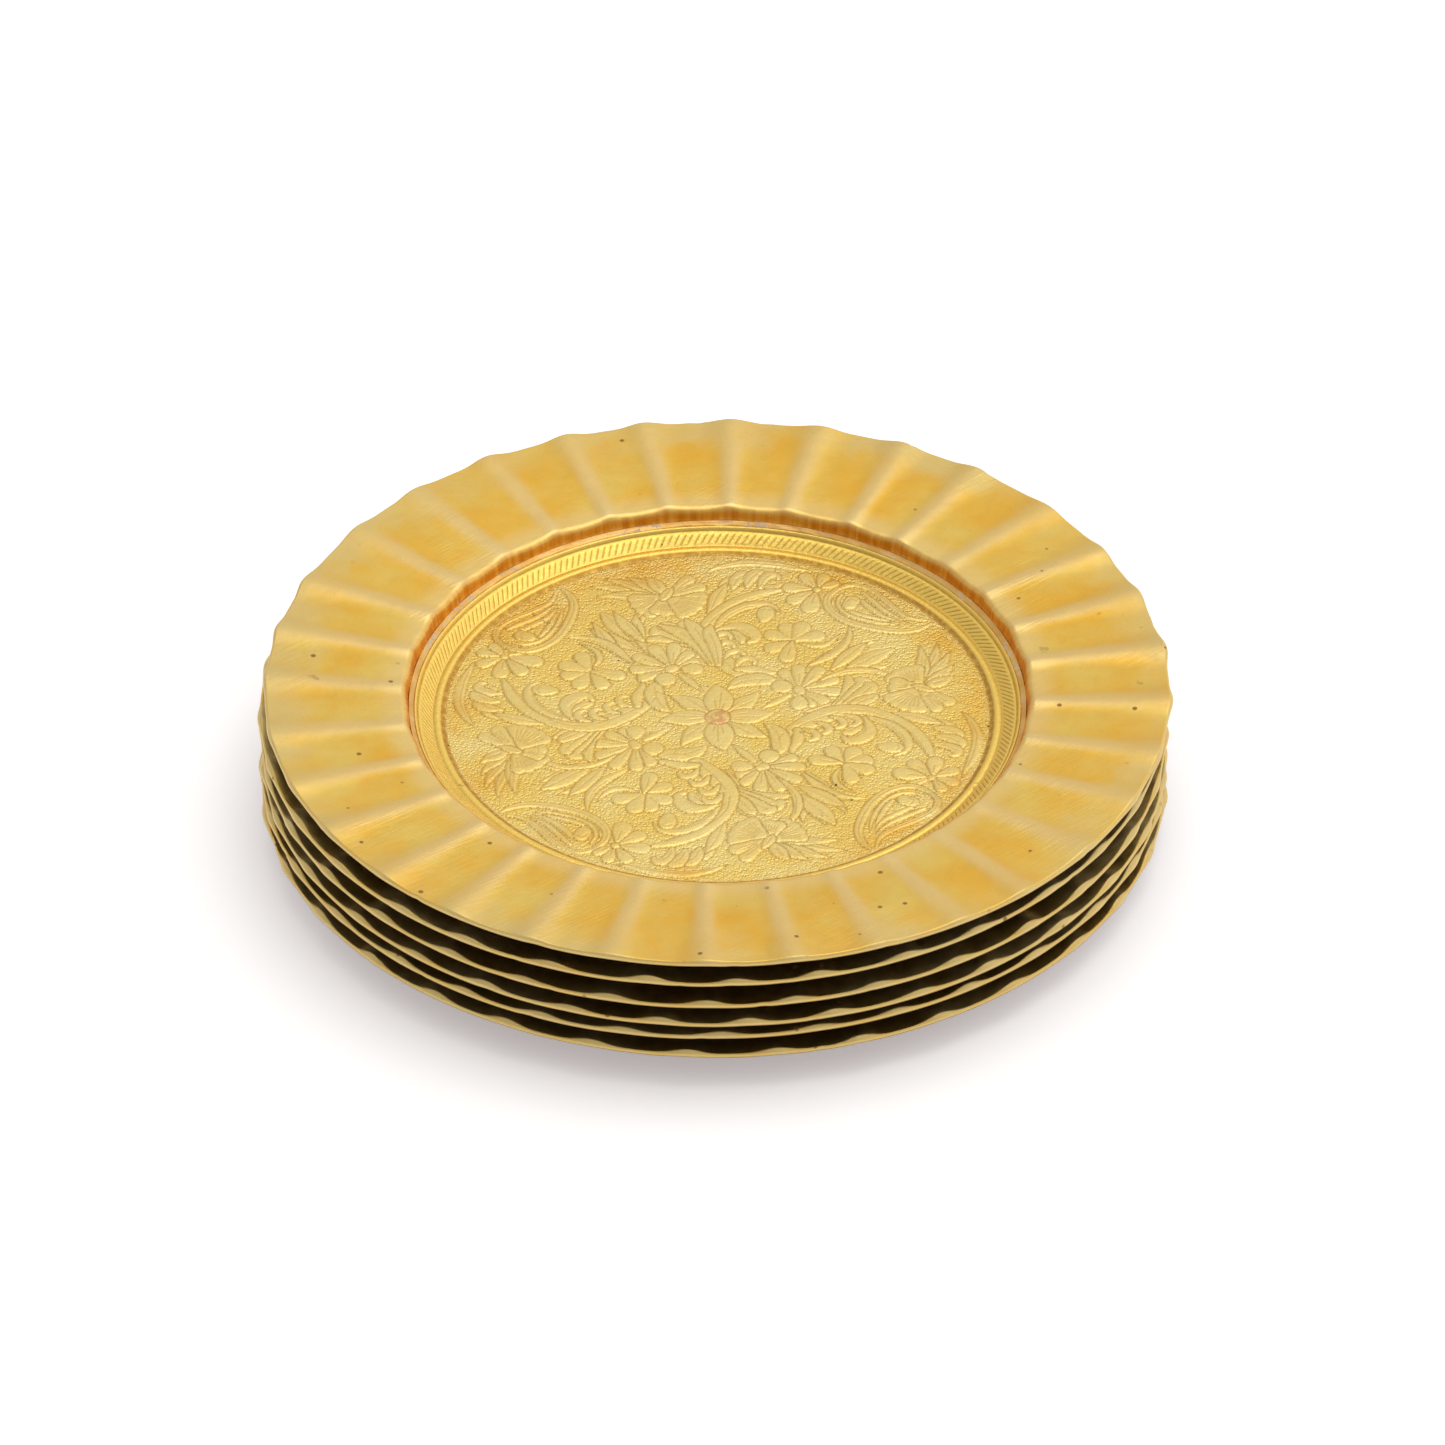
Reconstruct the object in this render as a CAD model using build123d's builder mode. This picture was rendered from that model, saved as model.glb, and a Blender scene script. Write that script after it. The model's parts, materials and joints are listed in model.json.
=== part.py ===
from build123d import *
from math import cos, radians, sin, tan
import os

# A stack of six identical small round brass trays, one lying in the next.
# Each tray is a fluted sheet pan, an engraved disc laid in its well, and a
# ring of solder that fills the seam between the two.
# Millimetres, +Z up. The origin is the centre of the bottom tray's flat base.

# ---- the pan: a well with a wide fluted rim --------------------------------
RIM_RADIUS = 75.0            # middle of the wavy outer edge
TRAY_HEIGHT = 7.35           # from the flat base to the middle of the rim's waves, at the edge
SHEET = 0.75                 # thickness of the sheet
FLUTES = 32
EDGE_WAVE_Z = 0.46           # how far the rim rises and falls with the flutes, near the edge
EDGE_WAVE_R = 0.24           # how far the edge goes out and in
LIP_WAVE_Z = 0.10            # the same two at the lip of the well
LIP_WAVE_R = 0.08
DROOP_WIDTH = 2.3            # outermost strip of the rim, which bends down
DROOP_RIDGE = 0.52           # how far it bends down on a ridge
DROOP_HOLLOW = 0.08          # and in a hollow

LIP_RADIUS = 52.4            # where the rim turns down into the well
LIP_DROP = 1.0               # lip below the outer edge
LIP_ROUND = 0.9              # bend on top of the lip
FOOT_RADIUS = 51.15          # foot of the fluted wall
FOOT_DROP = 3.3              # foot below the outer edge
BASE_RADIUS = 45.3           # flat part of the underside
BOTTOM_SLOPE = 20.4          # degrees, bottom between the flat base and the wall
LAP = 0.06                   # the dished bottom's wall is this much wider on each face

# ---- the engraved disc: heights are above its sunk ground ------------------
DISC_THICK = 0.5             # at its sunk ground
DISC_RADIUS = 50.2
BOSS_RADIUS = 2.2
BOSS_HEIGHT = 0.3
GROUND_RADIUS = 45.0
RING = [(45.95, 0.42), (46.45, 0.56), (46.95, 0.46)]       # smooth raised ring
BAND = [(47.1, 0.50), (49.35, 1.80)]                        # sloping band of slanted cuts
BEAD = [(49.45, 1.86), (49.85, 2.38), (DISC_RADIUS, 2.30)]  # rounded rim

# ---- the solder ------------------------------------------------------------
SOLDER_AT_DISC = 0.05        # its top, below the disc's rounded rim
SOLDER_AT_WALL = 0.05        # its top, below the foot of the fluted wall

# ---- the stack: base height, shift in X and Y, turn about Z, tilt about X and Y
STACK = [
    (0.0, (0.00, 0.00), 1.9, (0.00, 0.00)),
    (3.7, (-0.10, 0.15), 6.4, (0.10, -0.05)),
    (6.3, (0.05, -0.05), 9.8, (-0.05, 0.10)),
    (10.3, (-0.05, 0.10), 4.2, (0.15, 0.05)),
    (14.5, (-0.20, 0.00), 7.9, (-0.10, -0.10)),
    (18.4, (0.60, 0.05), 3.6, (0.00, 0.00)),
]

# ---- worked out from the sizes above ---------------------------------------
FLUTE_ANGLE = 360 / FLUTES
LIP_Z = TRAY_HEIGHT - LIP_DROP
FOOT_Z = TRAY_HEIGHT - FOOT_DROP
WALL_RUN = (LIP_RADIUS - FOOT_RADIUS) / (LIP_Z - FOOT_Z)    # outwards per mm up
WALL_LEVEL = SHEET * (1 + WALL_RUN**2) ** 0.5               # level thickness of the wall
SLOPE = tan(radians(BOTTOM_SLOPE))                          # up per mm outwards
BOTTOM_UPRIGHT = SHEET / cos(radians(BOTTOM_SLOPE))         # upright thickness of the slope
INNER_BASE_RADIUS = BASE_RADIUS - (BOTTOM_UPRIGHT - SHEET) / SLOPE
GROUND_Z = SHEET + DISC_THICK


def wall_radius(z, shift):
    """Radius of the well's wall at a height, shifted outwards from its inner face."""
    return FOOT_RADIUS + shift + (z - FOOT_Z) * WALL_RUN


def slope_height(radius, rise):
    """Height of the sloping bottom's underside at a radius, raised by rise."""
    return (radius - BASE_RADIUS) * SLOPE + rise


def slope_meets_wall(rise, shift):
    """Corner of a line along the sloping bottom and a line along the wall."""
    level_at_foot = slope_height(FOOT_RADIUS + shift, rise)
    z = (level_at_foot - FOOT_Z * WALL_RUN * SLOPE) / (1 - WALL_RUN * SLOPE)
    return (wall_radius(z, shift), z)


def radial_plane(angle):
    """Upright plane through the axis: local x runs outwards and local y up."""
    turn = radians(angle)
    outwards = (cos(turn), sin(turn), 0)
    sideways = (sin(turn), -cos(turn), 0)
    return Plane(origin=(0, 0, 0), x_dir=outwards, z_dir=sideways)


def above_ground(points):
    """The same points, with heights counted from the tray's base."""
    return [(radius, GROUND_Z + height) for radius, height in points]


# one flute of wall and rim, lofted from ridge to hollow to ridge
with BuildPart() as flute:
    for angle, wave in ((-FLUTE_ANGLE / 2, 1), (0, -1), (FLUTE_ANGLE / 2, 1)):
        bend_z = TRAY_HEIGHT + wave * EDGE_WAVE_Z
        bend_r = RIM_RADIUS + wave * EDGE_WAVE_R - DROOP_WIDTH
        edge_z = bend_z - (DROOP_RIDGE if wave > 0 else DROOP_HOLLOW)
        edge_r = bend_r + DROOP_WIDTH
        lip_r = LIP_RADIUS + wave * LIP_WAVE_R
        lip_z = LIP_Z + wave * LIP_WAVE_Z
        under_lip = (lip_r + WALL_LEVEL - SHEET * WALL_RUN, lip_z - SHEET)
        with BuildSketch(radial_plane(angle)):
            with BuildLine():
                top = FilletPolyline(
                    (edge_r, edge_z),
                    (bend_r, bend_z),
                    (lip_r, lip_z),
                    (FOOT_RADIUS, FOOT_Z),
                    radius=LIP_ROUND,
                )
                under = FilletPolyline(
                    (FOOT_RADIUS + WALL_LEVEL, FOOT_Z),
                    under_lip,
                    (bend_r, bend_z - SHEET),
                    (edge_r, edge_z - SHEET),
                    radius=LIP_ROUND + SHEET,
                )
                Line(top @ 1, under @ 0)
                Line(under @ 1, top @ 0)
            make_face()
    loft()

# dished bottom, up to the foot of the fluted wall, then the flutes round it
with BuildPart() as pan:
    with BuildSketch(Plane.XZ):
        with BuildLine():
            Polyline(
                (0, 0),
                (BASE_RADIUS, 0),
                slope_meets_wall(0, WALL_LEVEL + LAP),
                (wall_radius(FOOT_Z, WALL_LEVEL + LAP), FOOT_Z),
                (wall_radius(FOOT_Z, -LAP), FOOT_Z),
                slope_meets_wall(BOTTOM_UPRIGHT, -LAP),
                (INNER_BASE_RADIUS, SHEET),
                (0, SHEET),
                close=True,
            )
        make_face()
    revolve(axis=Axis.Z)
    with PolarLocations(0, FLUTES):
        add(flute.part)

# engraved disc, lying on the whole of the dished bottom
with BuildPart() as disc:
    with BuildSketch(Plane.XZ):
        with BuildLine():
            Polyline(
                (0, GROUND_Z),
                (0, SHEET),
                (INNER_BASE_RADIUS, SHEET),
                (DISC_RADIUS, slope_height(DISC_RADIUS, BOTTOM_UPRIGHT)),
                above_ground(BEAD)[2],
            )
            ThreePointArc(*above_ground(BEAD)[::-1])
            Line(above_ground(BEAD)[0], above_ground(BAND)[1])
            Line(*above_ground(BAND)[::-1])
            Line(above_ground(BAND)[0], above_ground(RING)[2])
            ThreePointArc(*above_ground(RING)[::-1])
            Polyline(above_ground(RING)[0], (GROUND_RADIUS, GROUND_Z), (0, GROUND_Z))
        make_face()
    revolve(axis=Axis.Z)
    with BuildSketch(Plane.XZ):
        with BuildLine():
            Polyline((BOSS_RADIUS, GROUND_Z), (0, GROUND_Z), (0, GROUND_Z + BOSS_HEIGHT))
            ThreePointArc(
                (0, GROUND_Z + BOSS_HEIGHT),
                (BOSS_RADIUS / 2, GROUND_Z + BOSS_HEIGHT * 0.75),
                (BOSS_RADIUS, GROUND_Z),
            )
        make_face()
    revolve(axis=Axis.Z)

# solder, in the wedge between the disc's edge and the wall
with BuildPart() as solder:
    disc_side = above_ground(BEAD)[2][1] - SOLDER_AT_DISC
    wall_side = FOOT_Z - SOLDER_AT_WALL
    with BuildSketch(Plane.XZ):
        with BuildLine():
            Polyline(
                (DISC_RADIUS, slope_height(DISC_RADIUS, BOTTOM_UPRIGHT)),
                slope_meets_wall(BOTTOM_UPRIGHT, -LAP),
                (wall_radius(wall_side, -LAP), wall_side),
                (DISC_RADIUS, disc_side),
                close=True,
            )
        make_face()
    revolve(axis=Axis.Z)

# the six trays, each piece in its own file
os.makedirs("parts", exist_ok=True)
for number, (base_z, (shift_x, shift_y), turn, (tilt_x, tilt_y)) in enumerate(STACK, start=1):
    place = Location((shift_x, shift_y, base_z), (tilt_x, tilt_y, turn))
    for name, piece in (("pan", pan), ("disc", disc), ("solder", solder)):
        with BuildPart() as placed:
            with Locations(place):
                add(piece.part)
        placed.part.label = f"tray_{number}_{name}"
        export_step(placed.part, f"parts/{placed.part.label}.step")
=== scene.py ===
import json
import math

import bpy
import numpy as np
from mathutils import Matrix, Vector

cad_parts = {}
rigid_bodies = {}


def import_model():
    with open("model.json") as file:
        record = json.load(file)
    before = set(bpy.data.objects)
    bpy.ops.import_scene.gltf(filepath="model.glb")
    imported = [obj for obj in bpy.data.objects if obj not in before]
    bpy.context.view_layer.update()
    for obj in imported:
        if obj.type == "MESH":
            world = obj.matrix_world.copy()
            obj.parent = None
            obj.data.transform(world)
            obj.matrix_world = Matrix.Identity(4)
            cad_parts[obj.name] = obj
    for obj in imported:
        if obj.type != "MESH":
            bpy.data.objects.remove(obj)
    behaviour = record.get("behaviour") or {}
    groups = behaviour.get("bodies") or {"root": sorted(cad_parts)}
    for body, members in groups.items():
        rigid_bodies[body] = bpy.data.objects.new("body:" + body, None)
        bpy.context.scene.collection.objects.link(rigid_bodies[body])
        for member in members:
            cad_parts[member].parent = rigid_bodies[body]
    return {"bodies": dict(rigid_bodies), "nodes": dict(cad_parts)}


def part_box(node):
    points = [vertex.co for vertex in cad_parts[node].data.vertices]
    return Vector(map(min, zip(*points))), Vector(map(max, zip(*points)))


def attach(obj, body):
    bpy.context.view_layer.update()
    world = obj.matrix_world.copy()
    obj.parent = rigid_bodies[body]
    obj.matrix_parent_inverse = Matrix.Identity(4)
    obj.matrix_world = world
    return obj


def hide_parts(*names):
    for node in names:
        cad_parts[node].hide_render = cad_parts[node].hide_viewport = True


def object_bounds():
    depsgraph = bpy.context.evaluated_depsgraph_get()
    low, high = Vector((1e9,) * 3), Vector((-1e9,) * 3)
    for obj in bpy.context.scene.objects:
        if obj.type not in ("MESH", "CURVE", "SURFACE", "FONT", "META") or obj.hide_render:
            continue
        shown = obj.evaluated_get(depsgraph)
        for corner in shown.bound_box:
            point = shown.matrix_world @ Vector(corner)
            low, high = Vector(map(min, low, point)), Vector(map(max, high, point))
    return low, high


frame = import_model()
cad_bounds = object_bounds()

# Six identical brass trays in a nested stack. Each tray is modelled in its own
# frame, in millimetres from the centre of its flat base, and is then placed
# where its CAD pan lies.

MM = 0.001
TRAYS = len(frame["bodies"])
TOP = TRAYS

# ---- sizes of one tray, in millimetres ----
SHEET = 0.75
RIM_RADIUS = 75.0
TRAY_HEIGHT = 7.35
FLUTES = 32
EDGE_WAVE_Z, EDGE_WAVE_R = 0.46, 0.24
LIP_SHARE = 0.36              # the lip's share of the rim's wave
LIP_CORNER = 0.15             # how far the lip's corners stand out at the ridges
EDGE_LEVEL = -0.25            # the bevelled edge, above the rim
EDGE_NET_WAVE = 0.23          # what the bevel leaves of the edge's wave
EDGE_STRIP = 1.6              # how far in from the edge the section has close rows
EDGE_BULGE = 0.18             # how far the edge's blunt round stands out
EDGE_SOFTNESS = 0.04          # how gently the rim turns into the bevel
BEVEL = math.tan(math.radians(42))
LIP_RADIUS, LIP_Z, LIP_ROUND = 52.4, 6.35, 1.35
FOOT_RADIUS, FOOT_Z = 51.15, 4.05
WALL_HIDDEN = 1.15            # how far the wall runs down behind the disc and the solder
BASE_RADIUS = 45.3
SLOPE = math.tan(math.radians(20.4))
GROUND_Z = 1.25
GROUND_RADIUS = 44.9
DISC_RADIUS = 50.2
# turns about the axis, in degrees, by the tray's number: the flutes' are the CAD's
FLUTE_TURN = {1: 1.9, 2: 6.4, 3: 9.8, 4: 4.2, 5: 7.9, 6: 3.6}
ENGRAVING_TURN = {1: 40.0, 2: 155.0, 3: 263.0, 4: 71.0, 5: 318.0, 6: 0.0}

WALL_RUN = (LIP_RADIUS - FOOT_RADIUS) / (LIP_Z - FOOT_Z)
SLOPE_UPRIGHT = SHEET * math.hypot(1, SLOPE)            # upright thickness of the sloping bottom


def bottom_height(r):
    """Height of the sloping bottom's upper face."""
    return (r - BASE_RADIUS) * SLOPE + SLOPE_UPRIGHT


def rim_height(r):
    """Height of the rim's top, without its waves."""
    return LIP_Z + (TRAY_HEIGHT - LIP_Z) * (r - LIP_RADIUS) / (RIM_RADIUS - LIP_RADIUS)


# ---- small helpers ----
def smoothstep(low, high, x):
    t = np.clip((x - low) / (high - low), 0, 1)
    return t * t * (3 - 2 * t)


def through(points, per_span=8):
    """A smooth line through given points; their half widths are carried along."""
    p = np.array(points, float)
    if len(p) == 2:
        t = np.linspace(0, 1, per_span + 1)[:, None]
        return p[0] * (1 - t) + p[1] * t
    p = np.vstack([2 * p[0] - p[1], p, 2 * p[-1] - p[-2]])
    t = np.linspace(0, 1, per_span, endpoint=False)[:, None]
    spans = []
    for a, b, c, d in zip(p, p[1:], p[2:], p[3:]):
        square, cube = 2 * a - 5 * b + 4 * c - d, 3 * b - a - 3 * c + d
        spans.append(0.5 * (2 * b + (c - a) * t + square * t**2 + cube * t**3))
    line = np.vstack(spans + [p[-2][None]])
    line[:, 2] = np.maximum(line[:, 2], 0.03)
    return line


def polar(radius, degrees):
    a = math.radians(degrees)
    return (radius * math.cos(a), radius * math.sin(a))


def about(centre, distance, degrees, half_width):
    x, y = polar(distance, degrees)
    return (centre[0] + x, centre[1] + y, half_width)


# ---- the engraving: what one quadrant holds ----
# A pad is a raised shape, given as a line of (x, y, half width) or as round
# lobes; a vein is a cut line, (x, y) points. x runs to the right of the disc's
# centre and y to the back; the quadrant is the one that lies to the back.
def petal(centre, degrees, start, length, half_width):
    """A petal with a round end."""
    return [
        about(centre, start, degrees, 0.25),
        about(centre, start + 0.55 * (length - start), degrees, half_width * 0.85),
        about(centre, length - half_width * 0.6, degrees, half_width),
    ]


def pointed(centre, degrees, start, length, half_width, bend):
    """A petal with a sharp end; bend swings its tip round, in degrees."""
    return [
        about(centre, start, degrees, half_width * 0.35),
        about(centre, start + 0.42 * (length - start), degrees, half_width),
        about(centre, start + 0.76 * (length - start), degrees + bend * 0.5, half_width * 0.55),
        about(centre, length, degrees + bend, 0.05),
    ]


def leaves(shapes, veined=3):
    """Pads that each have a vein along their first points."""
    for shape in shapes:
        yield "pad", [shape]
        yield "vein", [point[:2] for point in shape[:veined]]


def ray(centre, degrees, start, end):
    return [about(centre, start, degrees, 0)[:2], about(centre, end, degrees, 0)[:2]]


def centre_flower():
    petals = (
        (88, 9.2, 2.5), (41, 10.2, 1.9), (3, 9.6, 2.1), (-38, 10.0, 2.0),
        (-87, 9.2, 2.5), (-132, 10.0, 1.9), (181, 9.8, 2.1), (138, 10.2, 1.9),
    )
    for order in (1, 0):
        for degrees, length, half_width in petals[order::2]:
            yield "pad", [pointed((0, 0), degrees, 1.0, length, half_width, 5)]
            for aside, start, reach in ((-3, 2.3, 0.72), (9, 2.5, 0.5), (-14, 2.5, 0.42)):
                yield "vein", ray((0, 0), degrees + aside, start, length * reach)
    yield "pad", [[(0, 0, 2.1)]]
    yield "vein", [polar(1.8 - 0.004 * a, a) for a in range(0, 420, 30)]


def inner_daisy(centre=(13.2, 7.3)):
    yield "pad", [[(11.6, 6.0, 0.5), (9.6, 4.4, 0.75), (7.2, 2.4, 0.15)]]
    petals = (
        (-62, 4.6, 1.0), (118, 6.0, 1.15), (92, 6.6, 1.2), (60, 6.9, 1.25),
        (28, 6.8, 1.25), (-3, 6.6, 1.2), (-34, 5.4, 1.1),
    )
    for degrees, length, half_width in petals:
        yield "pad", [petal(centre, degrees, 0.6, length, half_width)]
        yield "vein", ray(centre, degrees, 1.7, length * 0.66)
    yield "pad", [[about(centre, 3.1, 160, 1.75), about(centre, 2.4, 160, 1.2)]]
    yield "pad", [[about(centre, 3.6, -92, 1.55), about(centre, 2.4, -92, 1.0)]]
    yield "pad", [[about(centre, 0.3, 120, 1.0), about(centre, 0.5, -60, 0.8)]]


def clover(centre=(12.0, 20.3)):
    yield "pad", [[(13.0, 19.9, 0.15), (15.4, 19.0, 0.6), (17.6, 19.6, 0.6), (19.6, 22.2, 0.08)]]
    for degrees, reach in ((128, 3.6), (44, 4.1)):
        yield "pad", [
            [
                (*centre, 0.25),
                about(centre, reach * 0.55, degrees + side * 0.8, 1.1),
                about(centre, reach, degrees + side, 1.5),
            ]
            for side in (-24, 24)
        ]
        yield "vein", ray(centre, degrees, 1.4, reach * 0.9)
    yield "pad", [[(*centre, 0.25), about(centre, 2.2, 214, 1.2), about(centre, 3.7, 208, 1.45)]]
    yield "pad", [[(*centre, 0.25), about(centre, 2.4, 258, 1.1), about(centre, 4.4, 258, 1.4)]]
    yield "vein", ray(centre, 258, 1.4, 4.0)
    yield "pad", [[
        (21.2, 24.8, 0.08), (21.1, 22.0, 0.55), (20.2, 19.2, 0.85), (18.0, 16.4, 0.9), (14.8, 13.9, 0.3),
    ]]
    yield "vein", [(20.9, 22.4), (19.9, 19.4), (17.8, 16.8)]


def vine():
    yield "pad", [[
        (-2.0, 39.3, 0.1), (0.4, 40.8, 0.6), (4.4, 41.9, 0.9),
        (9.4, 41.4, 0.9), (13.4, 40.1, 0.5), (15.6, 39.4, 0.06),
    ]]
    yield "vein", [(0.6, 40.7), (4.4, 41.7), (9.2, 41.2), (12.6, 40.3)]
    # acanthus curls under the rim leaf
    for x, y, size in ((0.6, 33.5, 1.25), (2.4, 34.9, 1.3), (4.7, 35.4, 1.25), (6.8, 35.0, 1.0)):
        yield "pad", [[
            (x, y, 0.4), (x + 0.4, y + 2.0, size * 0.85), (x + 1.5, y + 3.6, size),
            (x + 2.8, y + 3.4, 0.6), (x + 2.9, y + 2.4, 0.3),
        ]]
        yield "vein", [(x + 0.1, y + 0.6), (x + 0.6, y + 2.2), (x + 1.6, y + 3.4)]
    yield "pad", [[(-1.5, 27.0, 0.3), (-0.9, 30.0, 0.9), (0.0, 33.0, 1.25), (1.5, 36.6, 0.06)]]
    yield "vein", [(-1.2, 28.6), (-0.4, 32.0), (0.8, 35.0)]
    # the lobed leaf on the left of the stem
    yield from leaves((
        ((-2.6, 18.6, 0.8), (-6.0, 20.9, 1.3), (-9.2, 21.4, 1.25), (-11.9, 20.6, 0.3)),
        ((-2.8, 19.4, 0.8), (-6.4, 21.9, 1.4), (-9.4, 23.6, 1.35), (-10.4, 22.6, 0.8)),
        ((-2.6, 20.0, 0.8), (-5.8, 22.8, 1.4), (-8.3, 24.6, 1.25), (-9.2, 24.2, 0.7)),
        ((-2.4, 20.6, 0.7), (-4.2, 22.8, 1.3), (-5.6, 25.0, 1.0), (-6.2, 25.3, 0.3)),
    ))
    stem = (
        (4.0, 11.0, 0.9), (1.4, 14.3, 1.7), (-0.8, 17.4, 1.9), (-2.2, 20.6, 1.5), (-2.1, 24.0, 1.2),
        (-0.6, 27.4, 1.1), (2.4, 30.9, 1.15), (6.2, 33.2, 1.1), (9.6, 34.4, 0.6), (11.6, 34.9, 0.06),
    )
    yield "pad", [stem]
    yield "vein", [(-2.2, 21.2), (-1.7, 24.8), (0.8, 28.4), (4.0, 31.2), (8.0, 33.3)]
    yield "vein", [(2.6, 12.8), (0.2, 16.2), (-1.5, 19.4)]
    yield "pad", [[
        (-0.7, 23.2, 0.35), (0.8, 26.6, 0.75), (3.2, 29.3, 0.95),
        (6.2, 30.6, 0.95), (8.8, 30.2, 0.6), (10.1, 28.2, 0.06),
    ]]
    yield "vein", [(0.2, 25.2), (2.2, 27.9), (5.0, 29.8), (7.8, 29.9)]
    yield "pad", [[(7.5, 26.6, 1.0), (7.7, 28.0, 1.5), (7.8, 28.8, 1.3)]]
    yield "vein", [(6.9, 28.9), (7.8, 29.2), (8.6, 28.8)]
    # palmette and hooks on the right of the stem
    yield "pad", [[
        (-0.2, 23.6, 0.4), (2.2, 24.3, 1.1), (4.4, 24.0, 1.5),
        (5.9, 22.4, 1.2), (6.0, 21.0, 0.8), (5.0, 20.3, 0.5),
    ]]
    yield "pad", [[(0.6, 22.6, 0.5), (2.4, 22.6, 0.9), (3.6, 21.5, 0.9), (3.9, 20.5, 0.6)]]
    yield "vein", [(0.6, 23.6), (3.2, 23.7), (5.0, 22.4)]
    yield "vein", [(1.0, 22.7), (2.6, 22.3), (3.5, 21.2)]
    for x, y in ((-0.9, 20.6), (-0.4, 18.2), (1.2, 15.9), (3.0, 13.9)):
        yield "pad", [[
            (x, y, 0.35), (x + 0.7, y + 1.6, 0.7), (x + 2.0, y + 2.1, 0.7),
            (x + 2.9, y + 1.3, 0.5), (x + 2.8, y + 0.4, 0.25),
        ]]
    hook = ((3.2, 12.9, 0.7), (5.6, 13.0, 1.0), (7.4, 12.3, 0.9), (9.0, 12.0, 0.5), (10.2, 12.4, 0.06))
    yield "pad", [hook]
    yield "pad", [[(1.6, 7.6, 0.2), (3.4, 9.4, 1.3), (6.0, 10.2, 1.7), (8.2, 10.0, 1.3), (9.6, 9.6, 0.2)]]
    yield "vein", [(2.4, 8.6), (4.8, 9.8), (8.2, 10.2)]
    yield "vein", [(4.2, 10.6), (5.4, 10.0)]
    yield "vein", [(6.4, 9.0), (7.0, 9.9)]


def carnation(centre=(-8.4, 32.6)):
    yield from leaves((
        ((-12.9, 20.4, 0.4), (-15.0, 23.0, 1.5), (-17.0, 25.4, 1.6), (-18.8, 28.0, 0.5)),
        ((-13.4, 18.4, 0.4), (-16.0, 20.2, 1.25), (-18.4, 22.0, 1.2), (-20.9, 24.0, 0.1)),
    ), veined=4)
    yield "pad", [[
        (-11.4, 28.6, 0.4), (-13.0, 25.0, 0.7), (-12.9, 21.4, 0.8), (-11.4, 18.0, 0.55), (-9.6, 16.0, 0.12),
    ]]
    yield "vein", [(-12.6, 25.8), (-12.7, 21.4), (-11.3, 18.4)]
    spikes = ((163, 13.0, 1.25), (150, 11.4, 1.2), (176, 11.8, 1.2), (136, 8.6, 1.2), (118, 6.6, 1.3))
    for degrees, length, half_width in spikes:
        yield "pad", [pointed(centre, degrees, 1.0, length, half_width, 5)]
        for spread in (-2.2, 2.2):
            yield "vein", ray(centre, degrees + spread, 2.6, length * 0.74)
    frilled = (
        (213, 5.2, (-27, -9, 9, 27)), (268, 4.0, (-22, 0, 22)),
        (-28, 5.4, (-32, -16, 0, 16, 30)), (42, 5.8, (-15, 12)),
    )
    for degrees, reach, spreads in frilled:
        frills = [[(*centre, 0.5), about(centre, reach, degrees + spread, 1.3)] for spread in spreads]
        middle = [about(centre, reach * 0.5, degrees + end(spreads) * 0.8, 1.2) for end in (min, max)]
        yield "pad", [*frills, middle]
        for spread in range(min(spreads), max(spreads) + 1, 8):
            yield "vein", ray(centre, degrees + spread, 2.2, reach * 0.95)
    yield "pad", [[(-9.2, 31.3, 0.1), (-8.8, 32.5, 0.85), (-8.1, 33.8, 0.8), (-7.5, 35.2, 0.1)]]
    yield "vein", [(-8.9, 32.2), (-8.0, 34.2)]


def side_daisy(centre=(16.2, 34.3)):
    petals = (
        (72, 4.3, 1.15), (118, 4.6, 1.25), (30, 3.8, 1.1), (172, 5.2, 1.45),
        (216, 5.4, 1.4), (256, 5.9, 1.6), (300, 4.4, 1.0),
    )
    for degrees, length, half_width in petals:
        yield "pad", [petal(centre, degrees, 0.6, length, half_width)]
        yield "vein", ray(centre, degrees, 1.4, length * 0.64)
    yield "pad", [[(*centre, 0.75)]]


def paisley():
    lower = (
        (19.4, 34.6, 0.5), (18.0, 32.6, 0.65), (17.9, 30.0, 0.75), (19.6, 27.2, 0.8), (22.4, 25.2, 0.85),
        (26.2, 23.8, 0.85), (30.0, 23.2, 0.75), (33.0, 24.0, 0.6), (35.6, 26.2, 0.08),
    )
    upper = (
        (19.4, 34.6, 0.5), (21.6, 35.8, 0.6), (24.4, 35.0, 0.6), (26.8, 32.4, 0.6), (28.8, 29.4, 0.6),
        (31.0, 27.0, 0.5), (33.4, 26.2, 0.3), (35.6, 26.2, 0.06),
    )
    yield "pad", [lower, upper]
    yield "vein", [p[:2] for p in lower[:8]]
    yield "vein", [p[:2] for p in upper[:6]]
    inner_lines = (
        (
            (20.2, 33.4, 0.3), (19.5, 31.4, 0.4), (20.2, 28.9, 0.45),
            (22.6, 26.9, 0.45), (26.2, 25.5, 0.4), (29.4, 25.0, 0.1),
        ),
        ((23.6, 33.8, 0.4), (25.2, 31.6, 0.55), (27.2, 28.8, 0.5), (30.4, 26.0, 0.1)),
        ((23.4, 31.6, 0.5), (24.8, 29.6, 0.6), (27.0, 27.2, 0.5), (29.4, 25.9, 0.1)),
        ((21.6, 28.6, 0.4), (23.4, 27.6, 0.55), (26.0, 26.6, 0.45), (28.0, 26.0, 0.1)),
    )
    for points in inner_lines:
        yield "pad", [points]
    yield "pad", [[(21.4, 30.4, 1.25), (21.9, 31.6, 1.3)]]
    yield "vein", [(20.8, 31.0), (21.6, 31.9), (22.6, 31.4)]


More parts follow.
